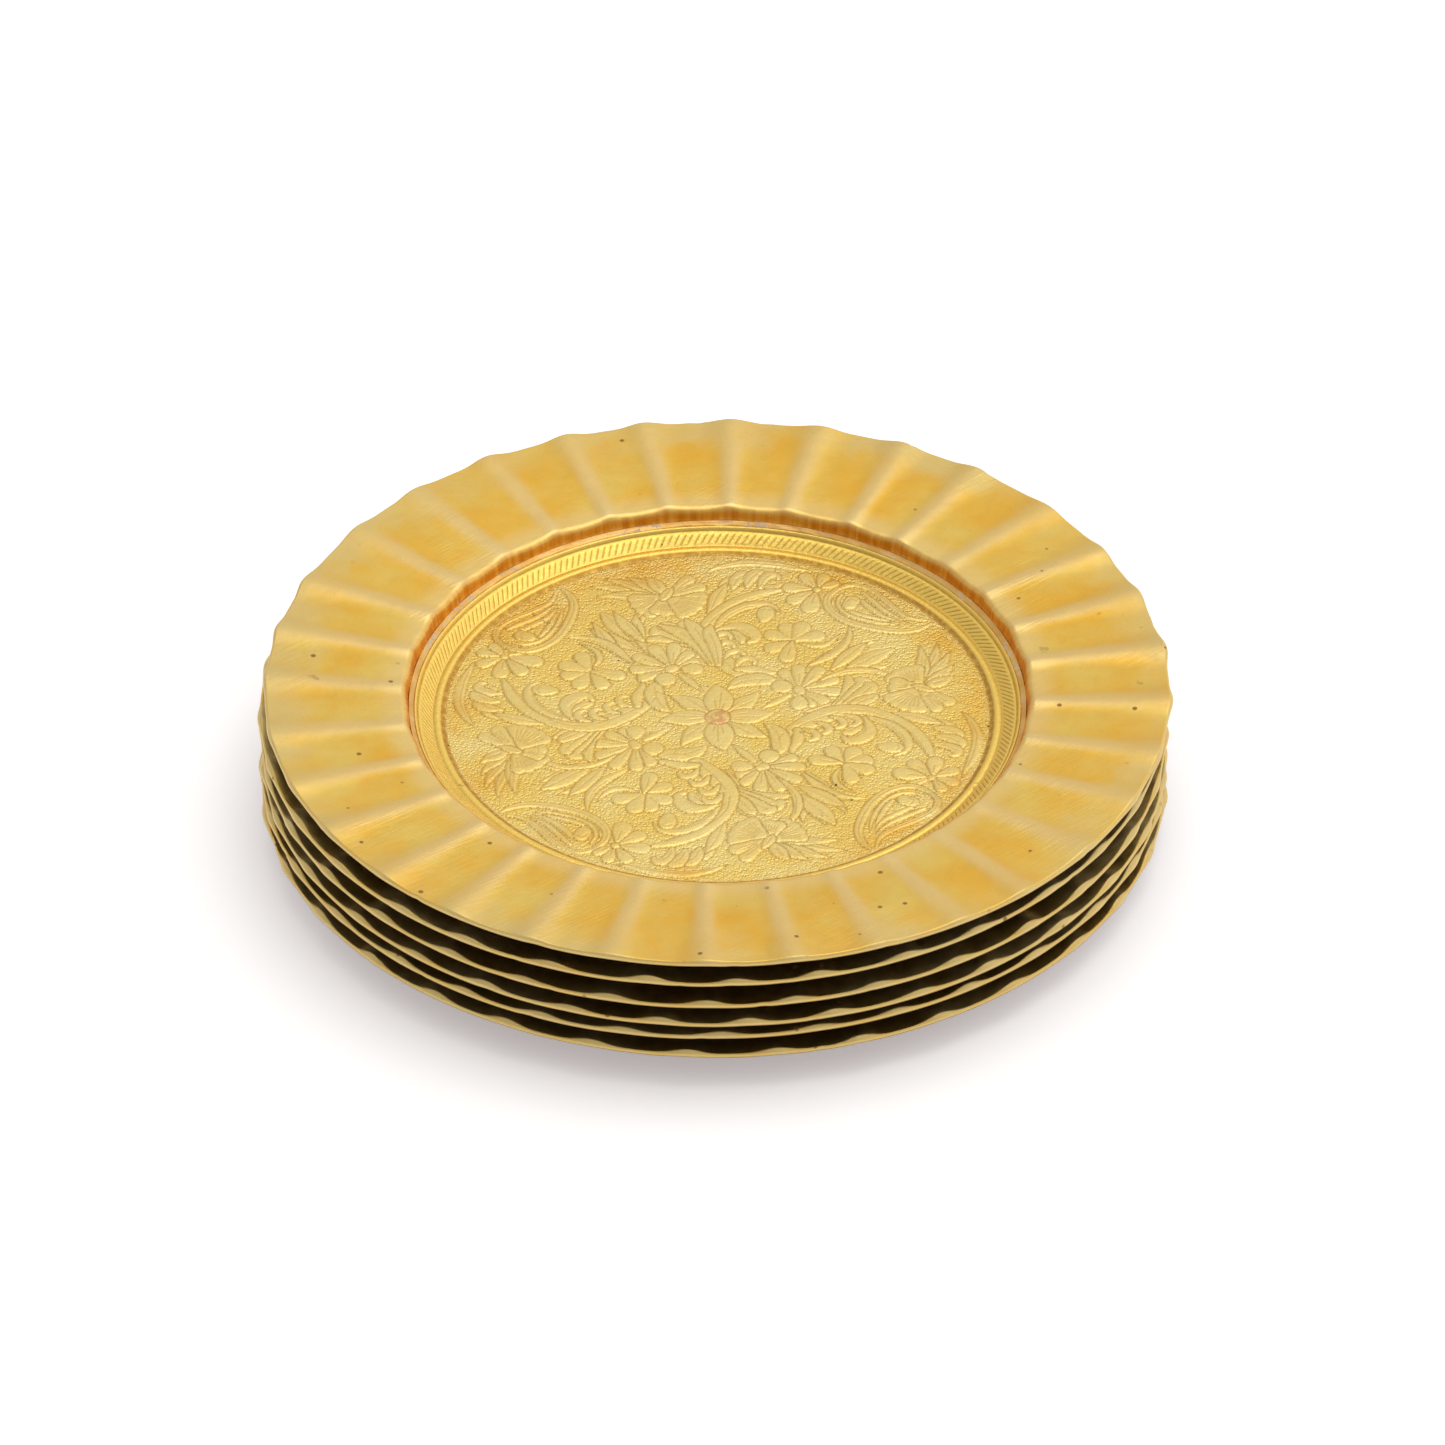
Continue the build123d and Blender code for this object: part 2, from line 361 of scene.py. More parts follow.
def side_leaves():
    """Leaves that fill the corner between this quadrant and the next."""
    yield "pad", [[(14.8, 14.2, 0.5), (18.4, 17.0, 1.0), (21.6, 18.6, 1.1), (25.6, 20.6, 0.08)]]
    yield "vein", [(15.8, 15.0), (19.4, 17.6), (23.4, 19.6)]
    yield from leaves((
        ((14.4, 1.2, 0.6), (19.0, 3.2, 1.2), (22.6, 6.2, 1.3), (24.6, 9.6, 0.4)),
        ((14.4, 0.6, 0.6), (19.6, 2.2, 1.2), (23.8, 4.0, 1.3), (26.2, 5.4, 0.4)),
        ((14.2, 0.0, 0.6), (19.0, 0.6, 1.1), (22.6, 1.6, 1.1), (24.6, 1.4, 0.4)),
    ))
    for tip in ((27.6, 13.6), (25.0, 15.6), (28.4, 17.2)):
        x, y = (20.6 + tip[0]) / 2, (12.4 + tip[1]) / 2
        yield "pad", [[(20.6, 12.4, 0.5), (x, y + 0.3, 1.15), (*tip, 0.1)]]
        yield "vein", [(21.6, 12.8), (x + 0.8, y + 0.4)]


QUADRANT = (side_leaves, vine, carnation, clover, inner_daisy, side_daisy, paisley)


class Relief:
    """Heights of the engraved ground on a fine square grid, in millimetres."""

    STEP = 0.1
    HALF = 46.0
    PAD = 0.14                # flat top of a pad above the ground
    PAD_DOME = 0.09
    PAD_EDGE = 0.26           # width of a pad's steep side
    OUTLINE = 0.06            # depth of the chased line round a pad
    OUTLINE_WIDTH = 0.11
    VEIN = 0.06
    VEIN_WIDTH = 0.11

    def __init__(self):
        axis = np.arange(-self.HALF, self.HALF + self.STEP / 2, self.STEP)
        self.axis = axis
        self.height = np.zeros((len(axis), len(axis)))
        self.cut = np.zeros_like(self.height)
        self.raised = np.zeros_like(self.height)

    def window(self, points, margin):
        low = np.clip(((points.min(0) - margin + self.HALF) / self.STEP).astype(int), 0, len(self.axis) - 1)
        high = np.clip(((points.max(0) + margin + self.HALF) / self.STEP).astype(int) + 2, 1, len(self.axis))
        window = (slice(low[1], high[1]), slice(low[0], high[0]))
        x, y = np.meshgrid(self.axis[window[1]], self.axis[window[0]])
        return window, x, y

    @staticmethod
    def distance(x, y, line):
        """Distance from a line of (x, y, half width), negative inside its width."""
        if len(line) == 1:
            line = np.vstack([line, line])
        best = np.full(x.shape, 1e3)
        for (ax, ay, aw), (bx, by, bw) in zip(line, line[1:]):
            dx, dy = bx - ax, by - ay
            t = np.clip(((x - ax) * dx + (y - ay) * dy) / max(dx * dx + dy * dy, 1e-9), 0, 1)
            best = np.minimum(best, np.hypot(x - ax - t * dx, y - ay - t * dy) - (aw + (bw - aw) * t))
        return best

    def pad(self, lines):
        lines = [through(line) if len(line) > 1 else np.array(line, float) for line in lines]
        everything = np.vstack(lines)
        window, x, y = self.window(everything[:, :2], everything[:, 2].max() + 1.0)
        distance = np.min([self.distance(x, y, line) for line in lines], axis=0)
        depth = np.maximum(-distance, 0)
        top = self.PAD * smoothstep(0, self.PAD_EDGE, depth) + self.PAD_DOME * (1 - np.exp(-depth / 0.9))
        inside = distance < 0
        chased = np.exp(-((distance - 0.05) / self.OUTLINE_WIDTH) ** 2)
        height, cut, raised = self.height[window], self.cut[window], self.raised[window]
        height[...] = np.where(inside, top, height) - self.OUTLINE * chased
        cut[...] = np.maximum(np.where(inside, 0, cut), chased)
        raised[...] = np.where(inside, smoothstep(0, self.PAD_EDGE, depth), raised)

    def vein(self, points):
        line = through([(*p[:2], 0) for p in points])
        line[:, 2] = 0
        window, x, y = self.window(line[:, :2], 1.0)
        cut_here = np.exp(-(self.distance(x, y, line) / self.VEIN_WIDTH) ** 2)
        self.height[window] -= self.VEIN * cut_here
        self.cut[window] = np.maximum(self.cut[window], 0.75 * cut_here)

    def draw(self, kind, shape, degrees, size):
        """Draws a motif turned by degrees about the disc's centre."""
        c, s = math.cos(math.radians(degrees)), math.sin(math.radians(degrees))

        def turned(p):
            rest = (p[2] * size,) if len(p) > 2 else ()
            return (size * (c * p[0] - s * p[1]), size * (s * p[0] + c * p[1]), *rest)

        if kind == "pad":
            self.pad([[turned(p) for p in line] for line in shape])
        else:
            self.vein([turned(p) for p in shape])

    def at(self, grid, x, y):
        """Values of a grid at points, by bilinear interpolation."""
        u = np.clip((x + self.HALF) / self.STEP, 0, len(self.axis) - 1.001)
        v = np.clip((y + self.HALF) / self.STEP, 0, len(self.axis) - 1.001)
        i, j = u.astype(int), v.astype(int)
        fu, fv = u - i, v - j
        near = grid[j, i] * (1 - fu) + grid[j, i + 1] * fu
        far = grid[j + 1, i] * (1 - fu) + grid[j + 1, i + 1] * fu
        return near * (1 - fv) + far * fv


def engrave():
    relief = Relief()
    hand = np.random.default_rng(7)
    for turn in (0, -90, 180, 90):
        for motif in QUADRANT:
            wobble, size = hand.normal(0, 0.5), 1.03 + hand.normal(0, 0.005)
            for kind, shape in motif():
                relief.draw(kind, shape, turn + wobble, size)
    for kind, shape in centre_flower():
        relief.draw(kind, shape, 0, 1)
    # the ground is punched all over and a little uneven
    rough = hand.normal(0, 1, relief.height.shape)
    for _ in range(2):
        rough = (rough + np.roll(rough, 1, 0) + np.roll(rough, 1, 1) + np.roll(rough, (1, 1), (0, 1))) / 4
    relief.height += rough / rough.std() * 0.012 * (1 - 0.7 * relief.raised)
    return relief


# ---- meshes ----
def make_mesh(name, vertices, corners, counts, attributes):
    """A smooth mesh from vertices in millimetres, the faces' corners in one row, and how many each has."""
    mesh = bpy.data.meshes.new(name)
    mesh.vertices.add(len(vertices))
    mesh.vertices.foreach_set("co", (vertices * MM).astype(np.float32).ravel())
    mesh.loops.add(len(corners))
    mesh.loops.foreach_set("vertex_index", corners.astype(np.int32))
    mesh.polygons.add(len(counts))
    starts = np.concatenate([[0], np.cumsum(counts)[:-1]])
    mesh.polygons.foreach_set("loop_start", starts.astype(np.int32))
    mesh.polygons.foreach_set("loop_total", counts.astype(np.int32))
    for key, values in attributes.items():
        layer = mesh.attributes.new(key, "FLOAT", "POINT")
        layer.data.foreach_set("value", np.asarray(values, np.float32))
    mesh.update(calc_edges=True)
    mesh.validate()
    mesh.polygons.foreach_set("use_smooth", np.ones(len(mesh.polygons), bool))
    return mesh


def ring_faces(first, second):
    """Quads between two closed rings of vertex numbers; they face up when second is outside."""
    return np.stack([first, second, np.roll(second, -1), np.roll(first, -1)], axis=1)


class Turned:
    """Vertices and faces of a body built ring by ring, the way it is turned on a lathe."""

    def __init__(self):
        self.vertices, self.quads, self.fans, self.values = [], [], [], []
        self.count = 0
        self.last = None

    def add(self, points, values):
        numbers = np.arange(self.count, self.count + len(points))
        self.vertices.append(points)
        self.values.append(values)
        self.count += len(points)
        return numbers

    def ring(self, radius, theta, height, *values):
        """Adds a ring round the axis; all but theta may be one number or one for each point."""
        points = np.stack([radius * np.cos(theta), radius * np.sin(theta), height + 0 * theta], axis=1)
        columns = np.transpose([value + 0 * theta for value in values])
        numbers = self.add(points, columns.reshape(len(theta), len(values)))
        if self.last is not None:
            self.quads.append(ring_faces(self.last, numbers))
        self.last = numbers

    def cap(self, point, value, at_end):
        """Closes the open ring with a fan round one point."""
        centre = self.add(np.array([point], float), np.array([value], float))[0]
        ring, after = self.last, np.roll(self.last, -1)
        middle = np.full(len(ring), centre)
        fan = (ring, middle, after) if at_end else (middle, ring, after)
        self.fans.append(np.stack(fan, axis=1))

    def mesh(self, name, keys):
        vertices = np.vstack(self.vertices)
        values = np.vstack(self.values)
        parts = [(np.vstack(self.quads), 4)]
        if self.fans:
            parts.append((np.vstack(self.fans), 3))
        corners = np.concatenate([p.ravel() for p, _ in parts])
        counts = np.concatenate([np.full(len(p), n) for p, n in parts])
        attributes = {key: values[:, i] for i, key in enumerate(keys)}
        return make_mesh(name, vertices, corners, counts, attributes)


# the disc's section outside its engraved ground: radius, and height above the ground
BORDER = (
    (45.05, 0.04), (45.25, 0.12), (45.50, 0.25), (45.72, 0.36), (45.90, 0.45), (46.10, 0.52),      # step
    (46.30, 0.56), (46.50, 0.56), (46.70, 0.53), (46.85, 0.47), (47.00, 0.44), (47.12, 0.46),      # ring
    (47.25, 0.53), (47.45, 0.64), (47.75, 0.81), (48.05, 0.99), (48.35, 1.17), (48.65, 1.35),      # band
    (48.90, 1.50), (49.10, 1.62), (49.24, 1.69), (49.36, 1.71), (49.50, 1.74), (49.60, 1.83),
    (49.68, 2.00), (49.78, 2.20), (49.92, 2.33), (50.06, 2.38), (50.15, 2.38), (50.20, 2.32),      # rim
)
BAND = (47.2, 49.2)           # the strip of slanted cuts
HATCHES = 264
HATCH_SLANT = 1.3             # how far a cut runs round the band, from one side to the other
HATCH_RELIEF = 0.10
RING_GROOVE, RIM_GROOVE = 47.0, 49.56    # radii of the two dark grooves beside the band


def disc_mesh(name, relief, half_count, hand):
    """The engraved disc. The ground is a square grid drawn out to a circle; the border is turned."""
    n = half_count
    around = 8 * n
    per_hatch = around // HATCHES
    side = np.linspace(-1, 1, 2 * n + 1)
    a, b = np.meshgrid(side, side, indexing="ij")
    wide = np.abs(a) > np.abs(b)
    safe_a, safe_b = np.where(a == 0, 1e-12, a), np.where(b == 0, 1e-12, b)
    radius = np.where(wide, a, b)
    angle = np.where(wide, math.pi / 4 * b / safe_a, math.pi / 2 - math.pi / 4 * a / safe_b)
    x, y = GROUND_RADIUS * radius * np.cos(angle), GROUND_RADIUS * radius * np.sin(angle)
    fade = 1 - smoothstep(GROUND_RADIUS - 1.0, GROUND_RADIUS - 0.1, np.hypot(x, y))
    height = relief.at(relief.height, x, y) * fade
    points = np.stack([x, y, GROUND_Z + height], axis=-1).reshape(-1, 3)
    cut, raised = 0.55 * relief.at(relief.cut, x, y) * fade, relief.at(relief.raised, x, y) * fade
    values = np.stack([cut, raised, np.zeros_like(x)], axis=-1).reshape(-1, 3)
    body = Turned()
    numbers = body.add(points, values).reshape(2 * n + 1, 2 * n + 1)
    squares = [numbers[:-1, :-1], numbers[1:, :-1], numbers[1:, 1:], numbers[:-1, 1:]]
    body.quads.append(np.stack(squares, axis=-1).reshape(-1, 4))
    # the grid's own edge is the first ring of the border, starting on the diagonal at -45 degrees
    body.last = np.concatenate(
        [numbers[-1, :-1], numbers[::-1, -1][:-1], numbers[0, ::-1][:-1], numbers[:-1, 0]]
    )
    theta = math.radians(-45) + np.arange(around) * math.tau / around
    wander = 0.05 * np.sin(3 * theta + 1) + 0.03 * np.sin(11 * theta)
    # a slat of raised brass is left between one slanted cut and the next
    phase = np.arange(around) % per_hatch / per_hatch
    slat = smoothstep(0, 0.2, np.minimum(phase, 1 - phase))
    strength = 1 + 0.15 * np.sin(5 * theta) + 0.12 * hand.normal(size=HATCHES).repeat(per_hatch)
    for r, z in BORDER:
        across = np.clip((r - BAND[0]) / (BAND[1] - BAND[0]), 0, 1)
        in_band = smoothstep(BAND[0] - 0.02, BAND[0] + 0.3, r)
        in_band = in_band * (1 - smoothstep(BAND[1] - 0.3, BAND[1] + 0.02, r))
        # the cuts slant most at the two sides of the disc
        slant = HATCH_SLANT / r * (across - 0.5) * smoothstep(45.0, 47.0, r) * (1 + 1.5 * np.cos(theta) ** 4)
        turned = theta - slant
        radial = r + 0.3 * wander * in_band
        level = GROUND_Z + z + in_band * (HATCH_RELIEF * slat * strength - HATCH_RELIEF / 2)
        # painted shade: the cuts between the slats are dark, darkest at the two sides of the disc, and so are
        # the two grooves
        groove = 0.7 * math.exp(-((r - RING_GROOVE) / 0.12) ** 2)
        groove += 0.8 * math.exp(-((r - RIM_GROOVE) / 0.09) ** 2)
        dark = np.clip((0.7 + 0.5 * np.cos(theta) ** 2) * in_band * (1 - slat) + groove, 0, 1)
        # the step down to the ground is darkened as well
        on_step = 0.9 * smoothstep(GROUND_RADIUS, 45.1, r) * (1 - smoothstep(45.7, 46.0, r))
        body.ring(radial, turned, level, np.maximum(dark, on_step), 0.6, 1.0)
    for r, z in ((DISC_RADIUS, bottom_height(DISC_RADIUS)), (45.2, SHEET), (22.0, SHEET), (6.0, SHEET)):
        body.ring(r, theta, z, 0.0, 0.0, 1.0)
    body.cap((0, 0, SHEET), (0, 0, 1), at_end=True)
    return body.mesh(name, ("cut", "raised", "border"))


def pan_profile():
    """The pan's section from its middle, over the rim, round the edge and back underneath.

    Each row: radius, height, share of the flutes' wave, 1 on the wall, 1 underneath (on the edge's round, its
    share of the underside's painted shade).
    """
    rows = [(6.0, SHEET, 0, 0, 0), (44.0, SHEET, 0, 0, 0)]
    for r in (45.2, 48.0, DISC_RADIUS):
        rows.append((r, bottom_height(r), 0, 0, 0))
    wall_slope = math.atan2(1, WALL_RUN)
    rim_slope = math.atan2(TRAY_HEIGHT - LIP_Z, RIM_RADIUS - LIP_RADIUS)
    tangent = LIP_ROUND * math.tan((wall_slope - rim_slope) / 2)
    wall_foot, wall_top = FOOT_Z - WALL_HIDDEN, LIP_Z - tangent * math.sin(wall_slope)
    for t in np.linspace(0, 1, 10):
        z = wall_foot + (wall_top - wall_foot) * t
        share, on_wall = LIP_SHARE * smoothstep(0.25, 1.0, t), 1 - 0.25 * smoothstep(0.7, 1.0, t)
        rows.append((FOOT_RADIUS + (z - FOOT_Z) * WALL_RUN, z, share, on_wall, 0))
    # the lip: an arc from the wall's slope to the rim's
    r, z = rows[-1][:2]
    angles = np.linspace(wall_slope, rim_slope, 11)
    for step, (before, after) in enumerate(zip(angles, angles[1:])):
        length = LIP_ROUND * (before - after)
        r += length * math.cos((before + after) / 2)
        z += length * math.sin((before + after) / 2)
        rows.append((r, z, LIP_SHARE, max(0.0, 0.7 - 0.1 * step), 0))
    lip, bend = r, RIM_RADIUS - EDGE_STRIP
    for t in np.linspace(0, 1, 27)[1:]:
        r = lip + (bend - lip) * t
        rows.append((r, rim_height(r), LIP_SHARE + (1 - LIP_SHARE) * t**3, 0, 0))
    for r in np.linspace(bend, RIM_RADIUS - 0.12, 15)[1:]:
        rows.append((r, rim_height(r), 1, 0, 0))
    top = np.array(rows)
    # the underside lies one sheet below, square to the section; its waves are flatter near the lip
    along = np.gradient(top[:, :2], axis=0)
    along /= np.linalg.norm(along, axis=1)[:, None]
    under = top[4::2].copy()
    under[:, :2] += np.stack([along[4::2, 1], -along[4::2, 0]], axis=1) * SHEET
    under[:, 4] = 1
    under[:, 2] = np.maximum(under[:, 2] - 0.12 * (1 - smoothstep(56, 66, under[:, 0])), 0)
    under = under[under[:, 0] > 46.5]
    # a blunt round joins the two; all but its upper corner is painted with the underside's dark shade
    middle = (top[-1][:2] + under[-1][:2]) / 2
    edge = []
    for degrees, darkening in ((68, 0.7), (40, 0.2), (0, 0.7), (-40, 0.85), (-68, 1.0)):
        a = math.radians(degrees)
        edge.append((middle[0] + EDGE_BULGE * math.cos(a), middle[1] + SHEET / 2 * math.sin(a), 1, 0, darkening))
    base = ((BASE_RADIUS + 0.6, 0.05), (BASE_RADIUS - 0.4, 0), (38, 0), (20, 0), (6, 0))
    return np.vstack([top, edge, under[::-1], [(r, z, 0, 0, 1) for r, z in base]])


def turn_from(theta, angle):
    """Turn from an angle, the short way round, in radians."""
    return (theta - angle + math.pi) % math.tau - math.pi


def pan_mesh(name, around, hand, rise, lip_inwards):
    """The fluted pan, hand made: no two flutes are quite alike.

    rise is how high its ridges are, as a share, and lip_inwards how far its lip is drawn in.
    """
    theta = np.arange(around) * math.tau / around
    ridge = (np.arange(FLUTES) + 0.5) * math.tau / FLUTES
    ridge += hand.normal(0, math.radians(0.35), FLUTES)
    size = np.clip(1 + hand.normal(0, 0.16, FLUTES), 0.6, 1.35)
    lean = hand.normal(0, math.radians(0.45), FLUTES)
    sway = [(hand.uniform(0, math.tau), k, s) for k, s in ((2, 0.10), (3, 0.07), (5, 0.05))]
    # direction, then a dent's radius, width and depth, and a nick's width and depth
    dent_ranges = ((0, math.tau), (57, 72), (1.2, 3.0), (-0.10, 0.06))
    dents = [[hand.uniform(*span) for span in dent_ranges] for _ in range(16)]
    nick_ranges = ((0, math.tau), (0.5, 1.4), (0.05, 0.16))
    nicks = [[hand.uniform(*span) for span in nick_ranges] for _ in range(14)]
    body = Turned()
    profile = pan_profile()
    # the outermost row and the two on each side of it are the bright edge
    edge_rows = np.abs(np.arange(len(profile)) - profile[:, 0].argmax()) < 3
    for (r, z, share, wall, under), on_edge in zip(profile, edge_rows):
        # ridges lean a little as they run outwards
        crest = ridge + lean * max(0.0, (r - 60) / 15)
        index = np.searchsorted(crest, theta) % FLUTES
        after = crest[index] + math.tau * (theta > crest[-1])
        before_index = (index - 1) % FLUTES
        before = crest[before_index] - math.tau * (index == 0) * (theta <= crest[-1])
        u = np.clip((theta - before) / (after - before), 0, 1)
        height = size[before_index] * (1 - smoothstep(0, 1, u)) + size[index] * smoothstep(0, 1, u)
        peak = np.abs(np.cos(math.pi * u))
        ridged = peak ** (9 - 4.8 * smoothstep(58, 75, r))
        wave = (2 * ridged - 0.85) * height
        rim = smoothstep(54, 66, r)
        sag = sum(s * np.sin(k * theta + phase) for phase, k, s in sway) * rim
        dent = rim * sum(
            depth * np.exp(-(turn_from(theta, a) ** 2 * r * r + (r - c) ** 2) / w**2)
            for a, c, w, depth in dents
        )
        lift = EDGE_WAVE_Z * share * wave * (1 - (1 - rise) * smoothstep(54, 58, r))
        radial = r + EDGE_WAVE_R * share * wave * (0.35 + 0.65 * smoothstep(64, 75, r))
        # the lip runs almost straight from ridge to ridge
        if under < 0.5:
            radial = radial - lip_inwards * smoothstep(FOOT_Z, 5.9, z) * (1 - smoothstep(53, 58, r))
            radial = radial + LIP_CORNER * (2 * peak**1.6 - 1) * math.exp(-((r - LIP_RADIUS) / 1.6) ** 2)
        # the edge is planished down to a blunt bevel, which cuts widest into the ridges
        bevel = EDGE_LEVEL + EDGE_NET_WAVE * wave + BEVEL * (RIM_RADIUS - r)
        over = (lift - bevel) / EDGE_SOFTNESS
        droop = EDGE_SOFTNESS * np.logaddexp(0, over) if r > RIM_RADIUS - 2 else np.zeros(around)
        nick = sum(depth * np.exp(-(turn_from(theta, a) * r / w) ** 2) for a, w, depth in nicks)
        radial = radial - nick * smoothstep(73.6, 75, r)
        lift = lift + sag + dent - droop
        crested, bevelled = ridged * min(1, share * 3), np.clip(droop / 0.12 + on_edge, 0, 1)
        body.ring(radial, theta, z + lift, crested, wall, under, bevelled)
        if body.count == around:
            inner = body.last
    outer = body.last
    body.cap((0, 0, 0), (0, 0, 1, 0), at_end=True)
    body.last = inner
    body.cap((0, 0, SHEET), (0, 0, 0, 0), at_end=False)
    body.last = outer
    return body.mesh(name, ("ridge", "wall", "under", "edge"))


def solder_mesh(name, around, hand):
    """Solder run by hand round the seam: its top wanders and has small lumps."""
    theta = np.arange(around) * math.tau / around

    def wander(scale, count):
        """A sum of waves round the seam."""
        total = np.zeros(around)
        for k in hand.integers(5, 90, count):
            total += np.sin(k * theta + hand.uniform(0, math.tau)) / math.sqrt(count)
        return total * scale

    # radius, height and how far it wanders: up the disc's edge, out to the wall and down it
    corner = bottom_height(DISC_RADIUS) + 0.02
    wall_top = FOOT_Z - 0.1
    section = [
        (DISC_RADIUS + 0.005, corner, 0), (DISC_RADIUS + 0.005, 3.45, 0), (DISC_RADIUS + 0.05, 3.57, 0.6),
        (50.36, 3.66, 1), (50.52, 3.75, 1), (50.68, 3.85, 1), (50.84, 3.95, 1), (50.98, 4.04, 0.8),
        (51.08, 4.12, 0.5), (51.12, wall_top, 0), (50.96, wall_top - 0.2, 0), (50.35, 2.72, 0),
    ]
    body = Turned()
    lumps = np.clip(wander(1, 24), -1.5, 2.5)
    for r, z, free in section:
        lift = free * (0.045 * lumps + wander(0.02, 12))
        body.ring(r, theta, z + lift)
    first = np.arange(around)
    body.quads.append(ring_faces(body.last, first))
    return body.mesh(name, ())


# ---- materials ----
def srgb(red, green, blue):
    """A colour given as screen values, 0 to 255."""
    def linear(v):
        v /= 255
        return v / 12.92 if v <= 0.04045 else ((v + 0.055) / 1.055) ** 2.4
    return (linear(red), linear(green), linear(blue), 1)


class Nodes:
    """A node tree, with the few kinds of node that brass and sky need."""

    def __init__(self, tree):
        self.tree = tree

    def node(self, kind, **settings):
        node = self.tree.nodes.new(kind)
        for key, value in settings.items():
            setattr(node, key, value)
        return node

    def link(self, output, socket):
        self.tree.links.new(output, socket)

    def feed(self, value, socket):
        if isinstance(value, bpy.types.NodeSocket):
            self.link(value, socket)
        else:
            socket.default_value = value

    def math(self, operation, a, b):
        node = self.node("ShaderNodeMath", operation=operation)
        self.feed(a, node.inputs[0])
        self.feed(b, node.inputs[1])
        return node.outputs[0]

    def times(self, a, b):
        return self.math("MULTIPLY", a, b)

    def ramp(self, value, low, high, out_low=0.0, out_high=1.0):
        node = self.node("ShaderNodeMapRange", interpolation_type="SMOOTHSTEP")
        self.feed(value, node.inputs["Value"])
        limits = {"From Min": low, "From Max": high, "To Min": out_low, "To Max": out_high}
        for key, limit in limits.items():
            node.inputs[key].default_value = limit
        return node.outputs["Result"]

    def mix(self, factor, a, b):
        node = self.node("ShaderNodeMix", data_type="RGBA")
        self.feed(factor, node.inputs["Factor"])
        self.feed(a, node.inputs["A"])
        self.feed(b, node.inputs["B"])
        return node.outputs["Result"]


class Shader(Nodes):
    """A material's nodes. Its noises are shifted by offset, so that no two trays look alike."""

    def __init__(self, name, offset=0.0):
        self.material = bpy.data.materials.new(name)
        self.material.use_nodes = True
        super().__init__(self.material.node_tree)
        self.surface = self.tree.nodes["Principled BSDF"]
        self.place = self.node("ShaderNodeTexCoord").outputs["Object"]
        shifted = self.vector_math("ADD", self.place)
        shifted.inputs[1].default_value = (offset, offset * 0.7, offset * 0.3)
        self.spread = shifted.outputs[0]

    def vector_math(self, operation, vector):
        node = self.node("ShaderNodeVectorMath", operation=operation)
        self.link(vector, node.inputs[0])
        return node

    def attribute(self, key):
        return self.node("ShaderNodeAttribute", attribute_name=key).outputs["Fac"]

    def noise(self, per_mm, detail, vector=None):
        """Noise whose features are about 1 / per_mm millimetres wide."""
        node = self.node("ShaderNodeTexNoise")
        self.link(vector or self.spread, node.inputs["Vector"])
        node.inputs["Scale"].default_value = per_mm / MM
        node.inputs["Detail"].default_value = detail
        node.inputs["Roughness"].default_value = 0.55
        return node.outputs["Fac"]

    def spots(self, per_mm):
        """Distance from scattered points that are about 1 / per_mm millimetres apart."""
        node = self.node("ShaderNodeTexVoronoi")
        self.link(self.spread, node.inputs["Vector"])
        node.inputs["Scale"].default_value = per_mm / MM
        return node.outputs["Distance"]

    def round_the_axis(self, per_turn):
        """Coordinates that change only with the direction from the tray's axis."""
        flat = self.vector_math("MULTIPLY", self.place)
        flat.inputs[1].default_value = (1, 1, 0)
        unit = self.vector_math("NORMALIZE", flat.outputs[0])
        scaled = self.vector_math("SCALE", unit.outputs[0])
        scaled.inputs["Scale"].default_value = per_turn * MM
        return scaled.outputs[0]

    def strokes_place(self, degrees, along):
        """Coordinates turned about the axis; the second direction is stretched when along is below 1."""
        node = self.node("ShaderNodeMapping", vector_type="TEXTURE")
        self.link(self.spread, node.inputs["Vector"])
        node.inputs["Rotation"].default_value = (0, 0, math.radians(degrees))
        node.inputs["Scale"].default_value = (1, 1 / along, 3)
        return node.outputs["Vector"]

    def from_axis(self):
        """Distance from the tray's axis, in millimetres."""
        flat = self.vector_math("MULTIPLY", self.place)
        flat.inputs[1].default_value = (1 / MM, 1 / MM, 0)
        return self.vector_math("LENGTH", flat.outputs[0]).outputs["Value"]

    def bump(self, height, strength, depth_mm, before=None):
        node = self.node("ShaderNodeBump")
        node.inputs["Strength"].default_value = strength
        node.inputs["Distance"].default_value = depth_mm * MM
        self.link(height, node.inputs["Height"])
        if before is not None:
            self.link(before, node.inputs["Normal"])
        return node.outputs["Normal"]

    def finish(self, colour, roughness, normal, metallic=1.0):
        self.feed(colour, self.surface.inputs["Base Color"])
        self.feed(roughness, self.surface.inputs["Roughness"])
        self.feed(metallic, self.surface.inputs["Metallic"])
        self.link(normal, self.surface.inputs["Normal"])
        return self.material


